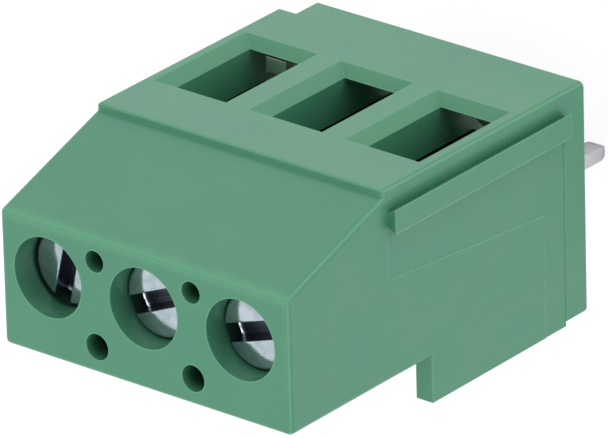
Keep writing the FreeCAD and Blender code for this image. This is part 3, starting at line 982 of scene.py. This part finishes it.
@dataclass
class TerminalContact:
    """One folded contact strip: clamping bar, back leg, base and solder pin with a coined tip."""

    number: int
    strip: float = 0.65
    base_height: float = 0.10
    bend: float = 0.25
    corner: float = 0.07
    bar_width: float = 2.30
    leg_width: float = 3.70
    pin_width: float = 0.90
    leg_from: float = 1.72
    pin_from: float = 0.25
    bar_above: float = 4.0
    pin_before: float = 1.0
    shoulder: float = 0.05
    coined: float = 0.45
    tip_curve: float = 0.96
    taper: float = 0.20
    step: float = 0.08
    around: int = 24

    @property
    def node(self) -> str:
        """The CAD node that this piece stands for."""
        return f"terminal_contact_{self.number}"

    def centre_line(self, low: np.ndarray, high: np.ndarray) -> np.ndarray:
        """The strip's middle line in the YZ plane, from the bar's free end to the pin's tip.

        Straight runs join quarter circles whose radius is the inner bend plus half the strip.

        Args:
            low: The lowest corner of the contact's box.
            high: The highest corner of that box.

        Returns:
            Points, one row each, with Y and Z.
        """
        half = self.strip / 2
        radius = self.bend + half
        bar, leg, base = high[2] - half, high[1] - half, self.base_height + half
        quarter = np.linspace(0.0, math.pi / 2, 12)
        arcs = [
            np.stack([leg - radius + radius * np.sin(quarter), bar - radius + radius * np.cos(quarter)], 1),
            np.stack([leg - radius + radius * np.cos(quarter), base + radius - radius * np.sin(quarter)], 1),
            np.stack([radius - radius * np.sin(quarter), base - radius + radius * np.cos(quarter)], 1),
        ]
        ends = [np.array([low[1], bar]), arcs[0][0], arcs[0][-1], arcs[1][0], arcs[1][-1], arcs[2][0],
                arcs[2][-1], np.array([0.0, low[2]])]
        runs = [np.linspace(a, b, int(np.hypot(*(b - a)) / self.step) + 2)[1:-1]
                for a, b in zip(ends[::2], ends[1::2])]
        return np.concatenate([ends[:1], runs[0], arcs[0], runs[1], arcs[1], runs[2], arcs[2], runs[3],
                               ends[-1:]])

    def sections(self, line: np.ndarray) -> np.ndarray:
        """Carry the strip's rounded section along its middle line.

        The width changes in two short steps, from the bar to the leg and from the base to the pin. Over
        the coined tip, width and thickness shrink along most of a quarter ellipse.

        Args:
            line: The middle line.

        Returns:
            Points, shaped sections by corners by three.
        """
        y, z = line[:, 0], line[:, 1]
        ahead = np.gradient(line, axis=0)
        ahead /= np.hypot(ahead[:, 0], ahead[:, 1])[:, None]
        normal = np.stack([-ahead[:, 1], ahead[:, 0]], 1)
        on_bar = np.clip((self.leg_from - y) / self.shoulder, 0.0, 1.0) * (z > self.bar_above)
        on_pin = np.clip((self.pin_from - z) / self.shoulder, 0.0, 1.0) * (y < self.pin_before)
        width = self.leg_width + (self.bar_width - self.leg_width) * on_bar
        width = width + (self.pin_width - width) * on_pin
        into_tip = np.clip((z.min() + self.coined - z) / self.coined, 0.0, 1.0)
        full = 1.0 - math.sqrt(1.0 - self.tip_curve)
        shrink = self.taper * (1.0 - np.sqrt(1.0 - self.tip_curve * into_tip ** 2)) / full
        half_width = width / 2 - shrink
        half_strip = self.strip / 2 - shrink
        turn = np.linspace(0.0, 2.0 * math.pi, self.around, endpoint=False) + math.pi / self.around
        side = np.sign(np.cos(turn)), np.sign(np.sin(turn))
        x = (half_width[:, None] - self.corner) * side[0] + self.corner * np.cos(turn)
        off = (half_strip[:, None] - self.corner) * side[1] + self.corner * np.sin(turn)
        place = line[:, None, :] + normal[:, None, :] * off[:, :, None]
        return np.concatenate([x[:, :, None], place], axis=2)

    def build(self, material: bpy.types.Material) -> bpy.types.Object:
        """Build the contact where its CAD node is.

        Args:
            material: Its finish.

        Returns:
            The piece, which belongs to the block.
        """
        low, high = (np.array(corner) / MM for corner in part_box(self.node))
        shell = Shell()
        sections = self.sections(self.centre_line(low, high))
        sections[:, :, 0] += (low[0] + high[0]) / 2
        shell.add_grid(sections, wrap=True, caps=True)
        made = shell.piece(f"folded_contact_{self.number}", material, sharp=30.0)
        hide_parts(self.node)
        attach(made, "block")
        return made


@dataclass
class DressedNode:
    """A CAD node whose shape stays and which gets a finish."""

    node: str
    slot: Slot

    def build(self, material: bpy.types.Material) -> bpy.types.Object:
        """Give the node its finish.

        Args:
            material: The finish.

        Returns:
            The node's object.
        """
        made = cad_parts[self.node]
        if not made.material_slots:
            made.data.materials.append(material)
        for place in made.material_slots:
            place.material = material
        return made


# Studio


@dataclass
class SoftLight:
    """A square soft light that looks at the block."""

    name: str
    place: tuple[float, float, float]
    size: float
    power: float
    tint: tuple[float, float, float] = (1.0, 1.0, 1.0)

    def build(self, target: Vector) -> bpy.types.Object:
        """Hang the light.

        Args:
            target: The point it looks at, in metres.

        Returns:
            The light's object, unseen by the camera.
        """
        lamp = bpy.data.lights.new(self.name, "AREA")
        lamp.shape = "SQUARE"
        lamp.size = self.size * MM
        lamp.energy = self.power
        lamp.color = self.tint
        made = bpy.data.objects.new(self.name, lamp)
        made.location = Vector(self.place) * MM
        made.rotation_mode = "QUATERNION"
        made.rotation_quaternion = (target - made.location).to_track_quat("-Z", "Y")
        made.visible_camera = False
        bpy.context.scene.collection.objects.link(made)
        return made


@dataclass
class Studio:
    """Light table, soft lights, a white tent and the camera at the photograph's angle."""

    floor_height: float = -4.30
    floor_reach: float = 6000.0
    floor_tones: tuple[float, float] = (0.22, 0.25)
    floor_roughness: float = 0.7
    cloud_size: float = 30.0
    table_glow: float = 0.85
    mask_from: float = 4.5
    mask_to: float = 9.0
    mask_narrowing: float = 0.55
    tent_glow: float = 1.02
    tent_white: float = 1.0
    opening_tone: float = 0.26
    opening_from: float = 0.76
    opening_to: float = 0.98
    lens: float = 622.4
    sensor: float = 36.0
    aim: tuple[float, float, float] = (0.0, 0.0, 8.0)
    eye: tuple[float, float, float] = (-250.8, -183.3, 314.6)
    right: tuple[float, float, float] = (-0.7798, 0.0247, -0.6256)
    down: tuple[float, float, float] = (-0.2454, 0.9072, 0.3417)

    @staticmethod
    def grey(tone: float) -> tuple[float, float, float, float]:
        """A neutral colour of a linear tone."""
        return (tone, tone, tone, 1.0)

    def floor(self) -> bpy.types.Object:
        """Lay the light table's milky sheet under the pins' tips.

        The camera sees the table glow all over. To all else it gives no light under the block, in an
        ellipse about the origin, so that none shines up into the open underside. The ellipse is the place
        whose distance, with X times mask_narrowing, is less than mask_from, and fades out to mask_to.

        Returns:
            The sheet, which is not part of the block.
        """
        reach, height = self.floor_reach, self.floor_height
        steps = np.linspace(-reach, reach, 9)
        x, y = np.meshgrid(steps, steps)
        shell = Shell()
        shell.add_grid(np.stack([x, y, np.full_like(x, height)], axis=-1))
        made = bpy.data.materials.new("studio_floor")
        made.use_nodes = True
        graph = Graph(made.node_tree)
        shader = made.node_tree.nodes["Principled BSDF"]
        place = graph.on_piece()
        cloud = graph.noise(place, self.cloud_size * MM)
        graph.feed(shader.inputs["Base Color"], graph.blend(cloud, *map(self.grey, self.floor_tones)))
        shader.inputs["Roughness"].default_value = self.floor_roughness
        shader.inputs["Emission Color"].default_value = self.grey(1.0)
        shortened = graph.add("VectorMath", operation="MULTIPLY")
        graph.feed(shortened.inputs[0], place)
        shortened.inputs[1].default_value = (self.mask_narrowing, 1.0, 1.0)
        away = graph.add("VectorMath", operation="LENGTH")
        graph.feed(away.inputs[0], shortened.outputs["Vector"])
        lit = graph.spread(away.outputs["Value"], self.mask_from * MM, self.mask_to * MM)
        seen = graph.calculate("MAXIMUM", graph.add("LightPath").outputs["Is Camera Ray"], lit)
        graph.feed(shader.inputs["Emission Strength"], graph.calculate("MULTIPLY", seen, self.table_glow))
        laid = shell.piece("studio_floor", made)
        if laid.data.polygons[0].normal.z < 0.0:
            laid.data.flip_normals()
        return laid

    def camera(self) -> bpy.types.Object:
        """Set the camera up where the photograph was taken from.

        Returns:
            The scene's camera.
        """
        lens = bpy.data.cameras.new("camera")
        lens.lens = self.lens
        lens.sensor_width = self.sensor
        lens.clip_start = 0.01
        lens.clip_end = 40.0
        made = bpy.data.objects.new("camera", lens)
        right, down = Vector(self.right).normalized(), Vector(self.down).normalized()
        back = right.cross(-down)
        turn = Matrix((right, -down, back)).transposed().to_4x4()
        made.matrix_world = Matrix.Translation(Vector(self.eye) * MM) @ turn
        bpy.context.scene.collection.objects.link(made)
        bpy.context.scene.camera = made
        return made

    def surround(self) -> None:
        """Fill the surround with the white of a light tent, whose opening at the camera is dark.

        The opening is where the cosine between a direction and the photograph's is high.
        """
        world = bpy.data.worlds.new("surround")
        bpy.context.scene.world = world
        world.use_nodes = True
        graph = Graph(world.node_tree)
        sky = world.node_tree.nodes["Background"]
        towards_eye = graph.add("VectorMath", operation="DOT_PRODUCT")
        graph.feed(towards_eye.inputs[0], graph.add("TexCoord").outputs["Generated"])
        towards_eye.inputs[1].default_value = Vector(self.eye).normalized()
        opening = graph.spread(towards_eye.outputs["Value"], self.opening_from, self.opening_to)
        tones = self.grey(self.tent_white), self.grey(self.opening_tone)
        graph.feed(sky.inputs["Color"], graph.blend(opening, *tones))
        sky.inputs["Strength"].default_value = self.tent_glow

    def build(self) -> None:
        """Build the studio."""
        self.floor()
        self.camera()
        self.surround()
        target = Vector(self.aim) * MM
        lights = [
            SoftLight("key_over_wire_face", (-60.0, -460.0, 200.0), 260.0, 0.22),
            SoftLight("fill_tongue_end", (-470.0, -160.0, 60.0), 280.0, 0.22),
            SoftLight("top", (60.0, 60.0, 480.0), 300.0, 0.5),
        ]
        for light in lights:
            light.build(target)
        bpy.context.scene.view_settings.view_transform = "Standard"


class TerminalBlock:
    """The whole block: housing, and for each pole its contact, cage and screw."""

    slot_turns = {1: 76.0, 2: 23.5, 3: 18.2}

    def __init__(self) -> None:
        """Choose the finishes."""
        self.plastic = MouldedPlastic(Slot.HOUSING, (70, 135, 107), (74, 137, 106), (116, 188, 142))
        self.screw = PlatedMetal(Slot.SCREW, (192, 205, 212), (170, 185, 193), 0.10, turned=True,
                                 metallic=0.93)
        # the cage's sides get painted shade
        self.cage = PlatedMetal(Slot.CAGE, (200, 216, 200), (186, 202, 188), 0.44, shaded_from=1.25)
        self.contact = PlatedMetal(Slot.CONTACT, (248, 246, 254), (236, 234, 242), 0.36, scratch_depth=0.003,
                                   metallic=0.38)

    def build(self) -> list[bpy.types.Object]:
        """Build every piece.

        Returns:
            The pieces, in order.
        """
        plastic, screw, cage, contact = (finish.material() for finish in
                                         (self.plastic, self.screw, self.cage, self.contact))
        pieces = [DressedNode("housing", Slot.HOUSING).build(plastic)]
        for number, turn in self.slot_turns.items():
            pieces.append(TerminalContact(number).build(contact))
            pieces.append(DressedNode(f"clamp_cage_{number}", Slot.CAGE).build(cage))
            pieces.append(ClampScrew(number, turn).build(screw))
        return pieces


def main() -> None:
    """Build the block and its studio, and log each piece's number of faces."""
    logging.basicConfig(level=logging.INFO, format="%(name)s: %(message)s")
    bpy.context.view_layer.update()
    for piece in TerminalBlock().build():
        LOG.info("%s: %d faces", piece.name, len(piece.data.polygons))
    Studio().build()


if __name__ == "__main__":
    main()
